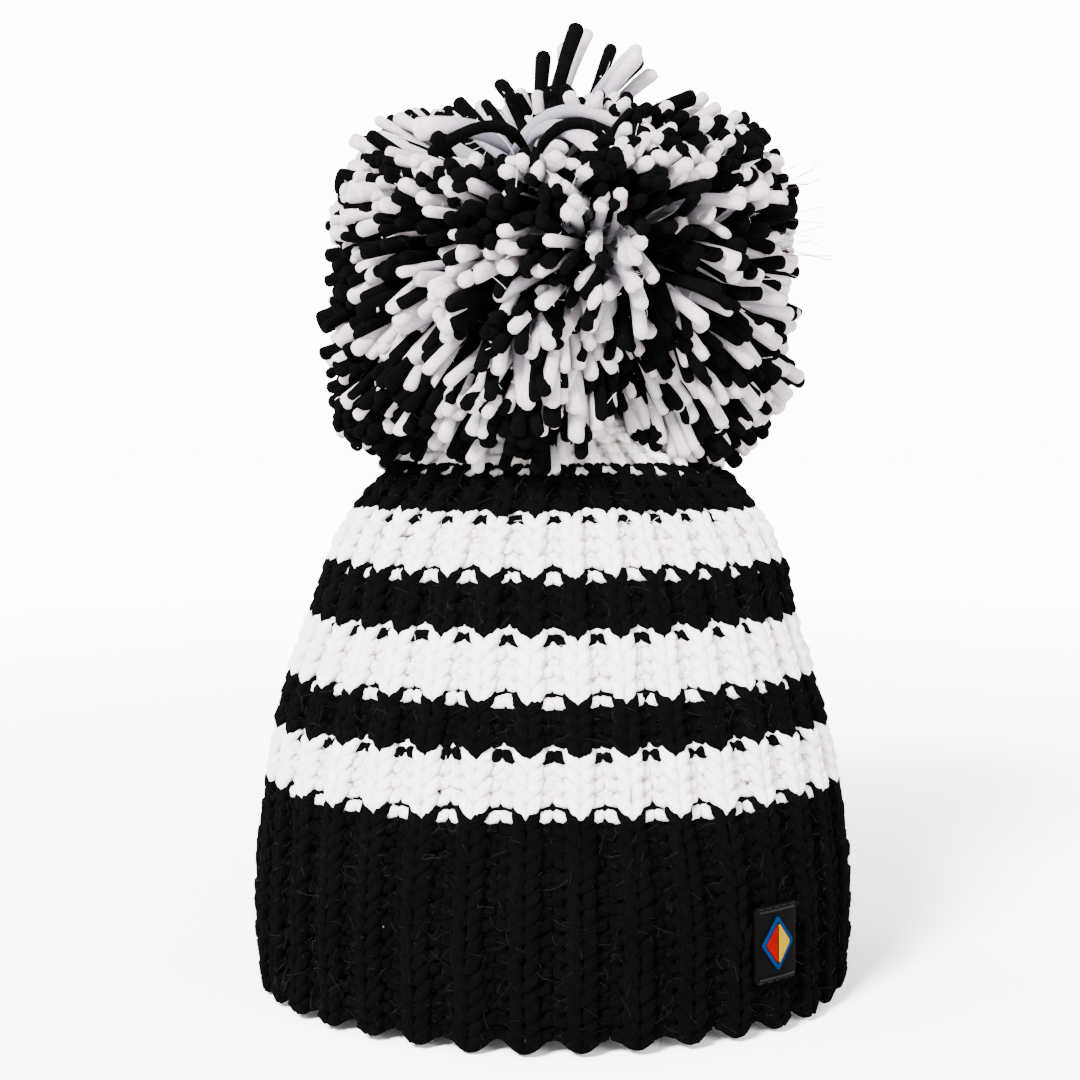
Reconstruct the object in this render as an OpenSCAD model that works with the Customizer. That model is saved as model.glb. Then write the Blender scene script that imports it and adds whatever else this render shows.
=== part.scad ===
// Pom-pom beanie: a tube of one-by-one rib in thick yarn, worked in black and
// white bands, drawn in at the crown, with a moulded label and a tied pom-pom.
// Millimetres, +Z up, front towards -Y, origin under the middle of the hat.

/* [Height of each colour change] */
// Height of the black brim band
brim_height = 67; // [54:0.5:80]
// Top of the lowest white stripe
stripe_1_top = 85; // [74:0.5:94]
// Top of the first black stripe
stripe_2_top = 100; // [90:0.5:110]
// Top of the middle white stripe
stripe_3_top = 119; // [108:0.5:127]
// Top of the second black stripe
stripe_4_top = 135; // [125:0.5:143]
// Top of the upper white stripe
stripe_5_top = 152; // [142:0.5:159]
// Top of the upper black stripe
stripe_6_top = 165; // [156:0.5:170]
// Height of the gathered top of the crown
crown_top = 176; // [169:0.5:185]

/* [Half widths] */
// Half width at the hem
hem_half_width = 95.5; // [85:0.5:105]
// Half width where the brim bulges most
bulge_half_width = 96; // [85:0.5:106]
// Half width at the top of the brim
brim_half_width = 91; // [80:0.5:100]
// Half width at the top of the lowest white stripe
stripe_1_half_width = 88; // [76:0.5:98]
// Half width at the top of the first black stripe
stripe_2_half_width = 84.5; // [74:0.5:94]
// Half width at the top of the middle white stripe
stripe_3_half_width = 78.5; // [68:0.5:90]
// Half width at the top of the second black stripe
stripe_4_half_width = 73; // [62:0.5:84]
// Half width at the top of the upper white stripe
stripe_5_half_width = 64.5; // [54:0.5:76]
// Half width at the top of the upper black stripe
stripe_6_half_width = 51; // [42:0.5:62]
// Half width of the hole left in the gathered crown
gather_half_width = 12; // [9:0.5:16]

/* [Shape] */
// Depth of the hat divided by its width at the hem
hem_depth_ratio = 0.83; // [0.7:0.01:1]
// Depth divided by width at the top of the brim
brim_depth_ratio = 0.79; // [0.65:0.01:1]
// Depth divided by width at the crown
crown_depth_ratio = 0.75; // [0.6:0.01:1]
// Height of the brim's bulge above the hem
bulge_height = 31; // [15:1:44]
// Thickness of the knitted wall
wall = 7; // [5:0.5:9]

/* [Knit] */
// Knit ribs round the hat
rib_count = 36; // [28:1:44]
// Depth of the groove between two ribs
rib_depth = 2.2; // [0:0.1:3]
// Thickness of the seam and gathering yarn
yarn = 3; // [2:0.5:4]

/* [Label] */
// Width of the moulded label
label_width = 16; // [12:0.5:30]
// Height of the moulded label
label_height = 22.5; // [15:0.5:35]
// Thickness of the label
label_thickness = 1.4; // [1:0.1:2.5]
// Height of the label's middle above the hem
label_z = 28; // [15:0.5:40]
// Angle of the label round the brim from the front
label_angle = 42; // [0:1:60]
// Direction that the label faces, from straight ahead
label_facing = 36.5; // [0:0.5:60]
// Lean of the label
label_lean = 1; // [-10:1:10]
// Height of the raised motif
motif_relief = 0.7; // [0.4:0.1:1.2]

/* [Pom-pom] */
// Height of the middle of the pom-pom
pompom_z = 233; // [224:1:244]
// Radius of the pom-pom
pompom_radius = 75; // [60:1:85]
// Radius of the pom-pom straight up
pompom_top_radius = 72; // [60:1:85]
// Height of the flattened underside above the hem
pompom_underside = 180.5; // [178:0.5:188]
// Tufts of strands in the pom-pom
tuft_count = 44; // [24:1:60]
// Half angle that one tuft takes up
tuft_half_angle = 12; // [8:0.5:16]
// Radius of the bound waist in the middle
core_radius = 12; // [8:0.5:16]
// Thickness of the tie cord
tie_cord = 3; // [2:0.5:4]

/* [Hidden] */
$fn = 48;
black = [0.05, 0.05, 0.055];
white = [0.93, 0.92, 0.95];
points_per_rib = 3;
ring_points = rib_count * points_per_rib;
tie_r = tie_cord / 2;
gap = 0.35;
pivot_z = crown_top;
tuft_root = core_radius + tie_cord + 1.2;
golden = 137.50776;

function half_width(z) = lookup(z, [
    [0, hem_half_width],
    [bulge_height, bulge_half_width],
    [brim_height, brim_half_width],
    [stripe_1_top, stripe_1_half_width],
    [stripe_2_top, stripe_2_half_width],
    [stripe_3_top, stripe_3_half_width],
    [stripe_4_top, stripe_4_half_width],
    [stripe_5_top, stripe_5_half_width],
    [stripe_6_top, stripe_6_half_width]
]);

function depth_ratio(z) = lookup(z, [
    [0, hem_depth_ratio],
    [brim_height, brim_depth_ratio],
    [stripe_6_top, crown_depth_ratio]
]);

// One closed outline at height z, with a groove at every third point.
function outline(w, d, z, groove) = [
    for (i = [0 : ring_points - 1])
        let (a = (i + 0.5) * 360 / ring_points)
        let (cut = (i % points_per_rib == 0) ? groove : 0)
        [(w - cut) * sin(a), -(d - cut) * cos(a), z]
];

// A ring-shaped solid through a list of outlines that ends where it began.
module ring_solid(loops) {
    n = len(loops);
    m = ring_points;
    pts = [for (l = loops) for (p = l) p];
    tri = [
        for (k = [0 : n - 1])
            for (i = [0 : m - 1])
                let (a = k * m + i)
                let (b = ((k + 1) % n) * m + i)
                let (c = ((k + 1) % n) * m + (i + 1) % m)
                let (d = k * m + (i + 1) % m)
                for (t = [[a, b, c], [a, c, d]])
                    t
    ];
    polyhedron(points = pts, faces = tri, convexity = 6);
}

module knit_band(levels) {
    outer = [
        for (z = levels)
            outline(half_width(z), half_width(z) * depth_ratio(z), z, rib_depth)
    ];
    inner = [
        for (k = [len(levels) - 1 : -1 : 0])
            let (z = levels[k])
            let (w = half_width(z))
            outline(w - wall, w * depth_ratio(z) - wall, z, 0)
    ];
    ring_solid(concat(outer, inner));
}

module torus(ring, tube) {
    rotate_extrude()
        translate([ring, 0])
            circle(r = tube);
}

// Puts its children on the brim, lying flat with their face outwards.
module on_label() {
    w = half_width(label_z);
    d = w * depth_ratio(label_z);
    nx = sin(label_facing);
    ny = -cos(label_facing);
    translate([
        w * sin(label_angle) + 0.3 * nx,
        -d * cos(label_angle) + 0.3 * ny,
        label_z
    ])
        rotate([0, 0, label_facing])
            rotate([90, 0, 0])
                rotate([0, 0, label_lean])
                    children();
}

module label_plate(w, h, t, r) {
    linear_extrude(t)
        union() {
            square([w - 2 * r, h], center = true);
            square([w, h - 2 * r], center = true);
            for (x = [-1, 1])
                for (y = [-1, 1])
                    translate([x * (w / 2 - r), y * (h / 2 - r)])
                        circle(r = r);
        }
}

// A tuft points away from the middle, with a narrow root and a blunt end.
module tuft(length) {
    t = tan(tuft_half_angle);
    e = 0.86 * length;
    rotate_extrude()
        polygon([
            [0, tuft_root],
            [tuft_root * t, tuft_root],
            [e * t, e],
            [e * t * 0.86, 0.94 * length],
            [e * t * 0.5, 0.985 * length],
            [0, length]
        ]);
}

function tuft_height(i) = 1 - (2 * i + 1) / tuft_count;

function tuft_length(s) =
    let (c = sqrt(1 - s * s))
    let (round_up = pompom_radius + (pompom_top_radius - pompom_radius) * max(s, 0))
    let (drop = pompom_z - pompom_underside)
    s < 0 ? min(round_up, drop / (-s + 0.24 * c)) : round_up;

module tufts(parity) {
    for (i = [0 : tuft_count - 1]) {
        s = tuft_height(i);
        if (s > -0.95 && i % 2 == parity)
            translate([0, 0, pompom_z])
                rotate([0, acos(s), i * golden])
                    tuft(tuft_length(s));
    }
}

module brim_band_black() {
    color(black)
        knit_band([0, bulge_height / 2, bulge_height, brim_height * 0.75, brim_height]);
}

module stripe_1_white() {
    color(white)
        knit_band([brim_height, stripe_1_top]);
}

module stripe_2_black() {
    color(black)
        knit_band([stripe_1_top, stripe_2_top]);
}

module stripe_3_white() {
    color(white)
        knit_band([stripe_2_top, stripe_3_top]);
}

module stripe_4_black() {
    color(black)
        knit_band([stripe_3_top, stripe_4_top]);
}

module stripe_5_white() {
    color(white)
        knit_band([stripe_4_top, stripe_5_top]);
}

module stripe_6_black() {
    color(black)
        knit_band([stripe_5_top, stripe_6_top]);
}

// The crown's ribs slant in to the hole that the gathering yarn draws shut.
module crown_white() {
    w = stripe_6_half_width;
    g = gather_half_width;
    z = stripe_6_top;
    k = crown_depth_ratio;
    rise = crown_top - stripe_6_top;
    color(white)
        ring_solid([
            outline(w, w * k, z, rib_depth),
            outline(w - 8, (w - 8) * k, z + 0.45 * rise, rib_depth),
            outline(w - 20, (w - 20) * k, z + 0.78 * rise, rib_depth * 0.8),
            outline(g, g * k, z + rise, 0),
            outline(g, g * k, z + 0.36 * rise, 0),
            outline(w - 20, (w - 20) * k, z + 0.22 * rise, 0),
            outline(w - wall, w * k - wall, z, 0)
        ]);
}

module gather_yarn() {
    color(white)
        translate([0, 0, crown_top - 3.2])
            scale([1, 0.77, 1])
                torus(gather_half_width - 0.5 - yarn / 2, yarn / 2);
}

// The yarn that closes the tube runs up the inside of the back.
module back_seam_yarn() {
    levels = [6, bulge_height, brim_height, stripe_2_top, stripe_4_top, stripe_5_top - 2];
    m = 8;
    last = len(levels) - 1;
    pts = [
        for (z = levels)
            for (i = [0 : m - 1])
                let (y = half_width(z) * depth_ratio(z) - wall - 0.7 - yarn / 2)
                [yarn / 2 * sin(i * 360 / m), y - yarn / 2 * cos(i * 360 / m), z]
    ];
    side = [
        for (k = [0 : last - 1])
            for (i = [0 : m - 1])
                let (a = k * m + i)
                let (b = (k + 1) * m + i)
                let (c = (k + 1) * m + (i + 1) % m)
                let (d = k * m + (i + 1) % m)
                for (t = [[a, b, c], [a, c, d]])
                    t
    ];
    ends = [
        [for (i = [0 : m - 1]) i],
        [for (i = [m - 1 : -1 : 0]) last * m + i]
    ];
    color(black)
        polyhedron(points = pts, faces = concat(side, ends), convexity = 4);
}

module label_patch() {
    color([0.07, 0.07, 0.075])
        on_label()
            label_plate(label_width, label_height, label_thickness, 0.8);
}

module label_border() {
    color([0.16, 0.16, 0.17])
        on_label()
            translate([0, 0, label_thickness + 0.02])
                for (s = [-1, 1])
                    translate([0, s * (label_height / 2 - 1.3), 0])
                        linear_extrude(0.5)
                            square([label_width - 2.4, 0.7], center = true);
}

module label_motif_blue() {
    color([0.05, 0.25, 0.62])
        on_label()
            translate([0, 0, label_thickness + 0.02])
                linear_extrude(motif_relief)
                    difference() {
                        polygon([[-6.2, 0], [0, -8.2], [6.2, 0], [0, 8.2]]);
                        polygon([[-4.9, 0], [0, -6.5], [4.9, 0], [0, 6.5]]);
                    }
}

module label_motif_red() {
    color([0.85, 0.06, 0.08])
        on_label()
            translate([0, 0, label_thickness + 0.02])
                linear_extrude(motif_relief + 0.15)
                    polygon([[-4.7, 0], [-0.25, -5.9], [-0.25, 5.9]]);
}

module label_motif_yellow() {
    color([0.96, 0.84, 0.10])
        on_label()
            translate([0, 0, label_thickness + 0.02])
                linear_extrude(motif_relief + 0.15)
                    polygon([[4.7, 0], [0.25, 5.9], [0.25, -5.9]]);
}

module label_stitches() {
    color(black)
        on_label()
            for (s = [-1, 1])
                for (k = [-2 : 2])
                    translate([k * 3, s * (label_height / 2 - 0.35), label_thickness + 0.32])
                        rotate([0, 90, 0])
                            cylinder(h = 1.8, r = 0.28, center = true);
}

// The tails of the tie pass through the gathered hole and are knotted inside.
module anchor_cord() {
    color(black)
        translate([0, 0, crown_top - 11])
            union() {
                cylinder(h = 15, r = tie_r);
                translate([0, 0, 15])
                    sphere(r = tie_r);
            }
}

module anchor_knot() {
    color(black)
        translate([0, 0, crown_top - 15.4])
            scale([1, 0.85, 0.8])
                sphere(r = 5);
}

module tie_tails() {
    low = crown_top + 4 + tie_r + 0.5;
    color(black)
        translate([0, 0, low])
            cylinder(h = pompom_z - core_radius - gap - low, r = tie_r);
}

module pompom_core() {
    color([0.30, 0.30, 0.32])
        translate([0, 0, pompom_z])
            sphere(r = core_radius);
}

module pompom_tie() {
    color(black)
        translate([0, 0, pompom_z])
            torus(core_radius + tie_r + gap, tie_r);
}

module pompom_black_strands() {
    color(black)
        tufts(0);
}

module pompom_white_strands() {
    color(white)
        tufts(1);
}

brim_band_black();
stripe_1_white();
stripe_2_black();
stripe_3_white();
stripe_4_black();
stripe_5_white();
stripe_6_black();
crown_white();
gather_yarn();
back_seam_yarn();
label_patch();
label_border();
label_motif_blue();
label_motif_red();
label_motif_yellow();
label_stitches();
anchor_cord();
anchor_knot();
tie_tails();
pompom_core();
pompom_tie();
pompom_black_strands();
pompom_white_strands();
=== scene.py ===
import math

import bpy
import numpy as np
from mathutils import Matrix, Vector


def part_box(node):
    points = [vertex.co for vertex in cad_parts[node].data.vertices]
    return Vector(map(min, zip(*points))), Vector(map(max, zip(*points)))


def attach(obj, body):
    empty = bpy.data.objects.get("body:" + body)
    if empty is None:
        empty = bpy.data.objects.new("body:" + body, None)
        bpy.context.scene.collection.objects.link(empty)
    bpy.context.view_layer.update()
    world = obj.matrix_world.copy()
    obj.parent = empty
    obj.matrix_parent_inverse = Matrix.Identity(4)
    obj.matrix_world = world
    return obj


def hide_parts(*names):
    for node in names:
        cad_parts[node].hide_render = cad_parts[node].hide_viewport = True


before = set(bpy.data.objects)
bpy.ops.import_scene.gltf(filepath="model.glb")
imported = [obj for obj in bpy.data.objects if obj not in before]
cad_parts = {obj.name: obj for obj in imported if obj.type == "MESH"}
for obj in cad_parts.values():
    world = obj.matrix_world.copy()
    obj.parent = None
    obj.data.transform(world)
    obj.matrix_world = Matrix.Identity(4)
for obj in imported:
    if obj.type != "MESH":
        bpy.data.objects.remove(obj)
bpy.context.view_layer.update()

MM = 0.001
TAU = 2 * math.pi

# ---------------------------------------------------------------- camera and light

scene = bpy.context.scene
cam_data = bpy.data.cameras.new("camera")
cam_data.sensor_fit = "HORIZONTAL"
cam_data.sensor_width = 36.0
cam_data.lens = 58.3
cam_data.clip_start = 0.01
cam = bpy.data.objects.new("camera", cam_data)
scene.collection.objects.link(cam)
cam.location = (-0.0038, -0.560, 0.177)
cam.rotation_euler = (math.radians(90 - 3.6), 0, 0)
scene.camera = cam


def area_light(name, where, at, size, power):
    data = bpy.data.lights.new(name, "AREA")
    data.shape = "DISK"
    data.size = size
    data.energy = power
    ob = bpy.data.objects.new(name, data)
    scene.collection.objects.link(ob)
    ob.location = where
    d = np.array(where, float) - np.array(at, float)
    yaw = math.atan2(d[0], -d[1])
    pitch = math.atan2(math.hypot(d[0], d[1]), d[2])
    ob.rotation_euler = (pitch, 0, yaw)
    return ob


area_light("key", (-0.65, -1.15, 1.05), (0, 0, 0.16), 0.45, 300.0)
area_light("fill", (0.95, -1.00, 0.45), (0, 0, 0.14), 0.90, 60.0)
area_light("rim_left", (-0.95, 0.55, 0.75), (0, 0, 0.18), 0.50, 16.0)
area_light("rim_right", (0.95, 0.60, 0.60), (0, 0, 0.18), 0.50, 16.0)

SKY = (0.97, 0.97, 1.0, 1)
SKY_SEEN, SKY_LIGHT = 14.0, 1.8
world = bpy.data.worlds.new("studio")
scene.world = world
world.use_nodes = True
wt = world.node_tree
soft_sky = wt.nodes["Background"]
soft_sky.inputs["Color"].default_value = SKY
soft_sky.inputs["Strength"].default_value = SKY_LIGHT
seen_sky = wt.nodes.new("ShaderNodeBackground")
seen_sky.inputs["Color"].default_value = (1, 1, 1, 1)
seen_sky.inputs["Strength"].default_value = SKY_SEEN
ray = wt.nodes.new("ShaderNodeLightPath")
both_skies = wt.nodes.new("ShaderNodeMixShader")
wt.links.new(ray.outputs["Is Camera Ray"], both_skies.inputs[0])
wt.links.new(soft_sky.outputs[0], both_skies.inputs[1])
wt.links.new(seen_sky.outputs[0], both_skies.inputs[2])
wt.links.new(both_skies.outputs[0], wt.nodes["World Output"].inputs["Surface"])

# ---------------------------------------------------------------- small helpers


def link(ob):
    scene.collection.objects.link(ob)
    return ob


def new_mesh(name, verts, quads, tris=None, uvs=None):
    """A smooth mesh: verts in mm, quads (n,4), tris (m,3), uvs {layer: loop coordinates, quads first}."""
    me = bpy.data.meshes.new(name)
    nq = len(quads)
    nt = 0 if tris is None else len(tris)
    me.vertices.add(len(verts))
    me.vertices.foreach_set("co", (np.asarray(verts) * MM).astype(np.float32).ravel())
    loops = np.asarray(quads, np.int32).ravel()
    if nt:
        loops = np.concatenate([loops, np.asarray(tris, np.int32).ravel()])
    me.loops.add(len(loops))
    me.loops.foreach_set("vertex_index", loops)
    me.polygons.add(nq + nt)
    starts = np.concatenate([np.arange(nq) * 4, nq * 4 + np.arange(nt) * 3]).astype(np.int32)
    me.polygons.foreach_set("loop_start", starts)
    me.update(calc_edges=True)
    me.validate()
    me.polygons.foreach_set("use_smooth", np.ones(len(me.polygons), bool))
    for layer, data in (uvs or {}).items():
        uv = me.uv_layers.new(name=layer)
        uv.data.foreach_set("uv", np.asarray(data, np.float32).ravel())
    return link(bpy.data.objects.new(name, me))


def quad_uvs(u0, u1, v0, v1):
    """The four corners of each quad: (u0,v0) (u1,v0) (u1,v1) (u0,v1)."""
    return np.stack([np.stack(c, -1) for c in ((u0, v0), (u1, v0), (u1, v1), (u0, v1))], 1)


def unit(a):
    return a / np.maximum(np.linalg.norm(a, axis=-1, keepdims=True), 1e-9)


def length_along(path):
    return np.concatenate([[0], np.cumsum(np.linalg.norm(np.diff(path, axis=0), axis=1))])


def waves(seed, count, lo, hi, dims=3):
    """A smooth seeded noise made of plane waves."""
    r = np.random.default_rng(seed)
    k = unit(r.normal(size=(count, dims))) * r.uniform(lo, hi, (count, 1))
    ph = r.uniform(0, TAU, count)

    def f(p):
        return np.sin(p @ k.T + ph).sum(-1) / math.sqrt(count / 2)

    return f


def curve_through(x, y):
    """A smooth curve through a few named levels, as a function of x."""
    x, y = np.asarray(x, float), np.asarray(y, float)
    d = np.diff(y) / np.diff(x)
    m = np.empty_like(y)
    m[1:-1] = (d[:-1] * np.diff(x)[1:] + d[1:] * np.diff(x)[:-1]) / (x[2:] - x[:-2])
    m[0], m[-1] = d[0], d[-1]

    def f(t):
        t = np.asarray(t, float)
        i = np.clip(np.searchsorted(x, t) - 1, 0, len(x) - 2)
        h = x[i + 1] - x[i]
        s = (t - x[i]) / h
        cube = (2 * s**3 - 3 * s**2 + 1) * y[i] + (s**3 - 2 * s**2 + s) * h * m[i]
        cube += (-2 * s**3 + 3 * s**2) * y[i + 1] + (s**3 - s**2) * h * m[i + 1]
        low = y[0] + m[0] * (t - x[0])
        high = y[-1] + m[-1] * (t - x[-1])
        return np.where(t < x[0], low, np.where(t > x[-1], high, cube))

    return f


POM = np.array([3.6, 0.0, 233.0])  # the middle of the pom-pom, in mm

# ---------------------------------------------------------------- the hat's surface

RIBS = 36
BRIM_ROWS = 15
STRIPE_ROWS = 4
CROWN_ROW = BRIM_ROWS + 6 * STRIPE_ROWS
TOP_ROW = CROWN_ROW + 8

# The hat's height, half width and half depth in mm at a few of its rows.
rows_at = [0, 7, 15, 19, 23, 27, 31, 35, 39, 43, 47]
height = curve_through(rows_at, [2.2, 33, 67.3, 84.3, 100.3, 118.2, 135.3, 151.2, 165, 176.5, 181])
half_w = curve_through(rows_at, [95.5, 96, 91, 88, 84.5, 78.5, 73, 64.5, 51, 32, 12])
half_d = curve_through(rows_at, [79.3, 77.5, 72, 69, 66, 62, 57, 49, 38, 24, 9])
INSET = 4.0

lump = waves(11, 9, 1.5, 3.5)
tug = waves(12, 9, 2.0, 5.0)


def surface(phi, v):
    """The middle of the knit at angle phi and row v, in mm."""
    a, b, z = half_w(v) - INSET, half_d(v) - INSET, height(v)
    s, c = np.sin(phi), np.cos(phi)
    ring = np.stack([s, -c, v / 12.0], -1)
    out = 0.9 * lump(ring * 1.6)
    z = z + 0.8 * tug(ring * 1.3) * np.clip(v / 6.0, 0, 1) * np.clip(1 - v / 45.0, 0.1, 1)
    return np.stack([(a + out) * s, -(b + out) * c, z], -1)


def surface_frame(phi, v):
    e = 1e-3
    p = surface(phi, v)
    du = unit(surface(phi + e, v) - surface(phi - e, v))
    dv = unit(surface(phi, v + 0.05) - surface(phi, v - 0.05))
    n = unit(np.cross(du, dv))
    return p, n


def smooth_step(x):
    x = np.clip(x, 0, 1)
    return x * x * (3 - 2 * x)


KNIT_SHARE = 0.52  # of a rib's width
LOOP_LEAN = 0.26
LOOP_HEIGHT = 0.84
NECK_DIP = 0.34
LOOP_DEPTH = 1.55
LOOP_TILT = 0.85
RIB_PROUD = 1.25
YARN_R = 1.92
YARN_FLAT = 0.92  # of its width
CAST_ON_R = 1.62
CAST_ON_PER_RIB = 16
ROW_LIFT = 0.50  # rows

hem_wave = waves(14, 8, 6.0, 16.0)


def hem_line(phi):
    """Row level of the cast-on edge: it hangs lowest under each knit rib."""
    ring = np.stack([np.sin(phi), np.cos(phi), phi * 0], -1)
    return 0.42 + 0.40 * np.cos(RIBS * phi) + 0.10 * (1 + hem_wave(ring))


def cast_on():
    """The yarn along the very edge of the hem."""
    n = RIBS * CAST_ON_PER_RIB
    phi = np.arange(n) / n * TAU
    p, nrm = surface_frame(phi, hem_line(phi))
    out = 0.5 - 1.1 * np.cos(RIBS * phi)
    return p + nrm * out[:, None], nrm, CAST_ON_R * (1 - 0.10 * np.cos(RIBS * phi))


def yarn_row(row, rib=True, wales=72, per_stitch=12, first=False):
    """The closed path of one round of stitches: points, outward directions and radii."""
    n = wales * per_stitch
    t = np.arange(n) / per_stitch
    k = np.floor(t).astype(int)
    f = t - k
    r = np.random.default_rng(900 + row * 7)
    lean = LOOP_LEAN * (1 + 0.18 * r.normal(size=wales))[k]
    g = f + lean * np.sin(2 * TAU * f)
    if rib:
        knit = k % 2 == 1
        wp, wk = 1 - KNIT_SHARE, KNIT_SHARE
        pair = k // 2
        pos = np.where(knit, wp / 2 + g * wk, (g - 0.5) * wp) + pair
        phi = pos / RIBS * TAU
        side = np.where(knit, 1.0, -1.0)
        blend = np.minimum(f, 1 - f) * 2
        s = side * smooth_step(blend * 2.2)
    else:
        knit = np.ones(n, bool)
        phi = (k + g) / wales * TAU
        s = np.ones(n)
    rise = -np.cos(TAU * f)
    edge = np.minimum(f, 1 - f)
    wobble = (0.05 * r.normal(size=wales))[k] * np.sin(math.pi * f) ** 2
    v = row + ROW_LIFT + (LOOP_HEIGHT + wobble) * rise
    if rib:
        v = v - np.where(knit, NECK_DIP, 0) * np.exp(-(((edge - 0.12) / 0.07) ** 2))
    if first:
        v = np.maximum(v, hem_line(phi) + 0.12)
    # Every loop comes out through the one below, so its foot lies nearer the front than its head.
    depth = LOOP_TILT * np.cos(TAU * f) - LOOP_DEPTH * np.cos(2 * TAU * f) * s
    out = depth + (RIB_PROUD * s if rib else 0.4)
    out = out - 0.9 * np.exp(-((edge / 0.055) ** 2))
    p, nrm = surface_frame(phi, v)
    p = p + nrm * out[:, None]
    place = np.stack([np.sin(phi), np.cos(phi), v * 0.05], -1)
    jig = np.stack([waves(row * 3 + q + 40, 6, 8, 22)(place) for q in range(3)], -1)
    p = p + 0.22 * jig
    a, b = half_w(row + 0.5), half_d(row + 0.5)
    share = TAU * math.sqrt((a * a + b * b) / 2) / wales
    # A drawn-in row squeezes its yarn.
    rad = YARN_R * min(1.0, 0.30 + 0.70 * share / 6.2)
    rad = rad * (1 - 0.22 * np.exp(-(((edge - 0.07) / 0.06) ** 2)) * np.where(knit & rib, 1, 0))
    rad = rad * (1 - 0.12 * np.exp(-(((edge - 0.12) / 0.08) ** 2)) * np.where(knit, 0, 1))
    fat = 1 + 0.06 * waves(row + 300, 7, 10, 40)(np.stack([np.sin(phi), np.cos(phi), phi * 0], -1))
    return p, nrm, rad * fat


def tube_loop(p, nrm, rad, sides):
    """Rings round a closed path."""
    tan = unit(np.roll(p, -1, 0) - np.roll(p, 1, 0))
    bi = unit(np.cross(tan, nrm))
    up = np.cross(bi, tan)
    ang = np.arange(sides) / sides * TAU
    ring = bi[:, None, :] * np.cos(ang)[None, :, None]
    ring = ring + YARN_FLAT * up[:, None, :] * np.sin(ang)[None, :, None]
    return p[:, None, :] + ring * np.asarray(rad)[:, None, None]


def knit_piece(name, rows, per_stitch=12, sides=8, first=False, plan=None):
    verts, quads, uv_yarn, uv_bake = [], [], [], []
    base = 0
    strips = 4
    rounds = [("edge", 0)] * int(first) + [("row", row) for row in rows]
    total = len(rounds) * strips
    for i, (what, row) in enumerate(rounds):
        if what == "edge":
            p, nrm, rad = cast_on()
        else:
            opts = dict(plan(row)) if plan else {}
            p, nrm, rad = yarn_row(row, per_stitch=per_stitch, first=first and row == 0, **opts)
        ring = tube_loop(p, nrm, rad, sides)
        n = len(p)
        verts.append(ring.reshape(-1, 3))
        j = np.repeat(np.arange(n), sides)
        q = np.tile(np.arange(sides), n)
        j2, q2 = (j + 1) % n, (q + 1) % sides
        quads.append(base + np.stack([j * sides + q, j * sides + q2, j2 * sides + q2, j2 * sides + q], -1))
        base += n * sides
        along = length_along(np.vstack([p, p[:1]]))
        a0, a1 = along[j] / 10.0, along[j + 1] / 10.0
        w0, w1 = q / sides, (q + 1) / sides
        uv_yarn.append(quad_uvs(w0, w1, a0, a1))
        per = n // strips
        st = j // per
        u0, u1 = (j - st * per) / per, (j + 1 - st * per) / per
        low = (i * strips + st) / total
        h = 0.86 / total
        x0, x1 = 0.002 + 0.996 * u0, 0.002 + 0.996 * u1
        y0, y1 = low + w0 * h, low + w1 * h
        uv_bake.append(quad_uvs(y0, y1, x0, x1)[..., ::-1])
    return new_mesh(
        name,
        np.vstack(verts),
        np.vstack(quads),
        uvs={"yarn": np.vstack(uv_yarn), "OFBake": np.vstack(uv_bake)},
    )


# ---------------------------------------------------------------- materials


class Nodes:
    def __init__(self, name):
        self.m = bpy.data.materials.new(name)
        self.m.use_nodes = True
        self.t = self.m.node_tree
        self.bsdf = self.t.nodes["Principled BSDF"]

    def add(self, kind, **inputs):
        n = self.t.nodes.new(kind)
        for key, val in inputs.items():
            self.put(n, key, val)
        return n

    def put(self, n, key, val):
        sock = n.inputs[int(key[1:])] if key[0] == "_" else n.inputs[key.replace("_", " ")]
        if isinstance(val, bpy.types.NodeSocket):
            self.t.links.new(val, sock)
        else:
            sock.default_value = val

    def math(self, op, a, b=0.0):
        n = self.t.nodes.new("ShaderNodeMath")
        n.operation = op
        self.put(n, "_0", a)
        self.put(n, "_1", b)
        return n.outputs[0]

    def ramp(self, fac, stops):
        n = self.t.nodes.new("ShaderNodeValToRGB")
        e = n.color_ramp.elements
        while len(e) < len(stops):
            e.new(0.5)
        for el, (pos, col) in zip(e, stops):
            el.position = pos
            el.color = (*col, 1)
        self.put(n, "Fac", fac)
        return n.outputs["Color"]

    def noise(self, vector, scale, detail=3.0, rough=0.6):
        n = self.add("ShaderNodeTexNoise", Scale=scale, Detail=detail, Roughness=rough)
        self.t.links.new(vector, n.inputs["Vector"])
        return n.outputs["Fac"]

    def mix(self, fac, a, b):
        n = self.t.nodes.new("ShaderNodeMix")
        n.data_type = "RGBA"
        for key, val in (("Factor", fac), ("A", a), ("B", b)):
            sock = [s for s in n.inputs if s.name == key and (s.type == "RGBA" or key == "Factor")]
            sock = sock[0]
            if isinstance(val, bpy.types.NodeSocket):
                self.t.links.new(val, sock)
            else:
                sock.default_value = (*val, 1) if isinstance(val, tuple) else val
        return [o for o in n.outputs if o.type == "RGBA"][0]


YARN_ROUGH, YARN_BUMP = 0.95, 0.9
RUBBER_GRAIN, RUBBER_BUMP, RUBBER_PAINTED_SHEEN = 600.0, 0.08, 0.12
ROOT_SHADE = (0.075, 0.070, 0.095)


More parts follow.
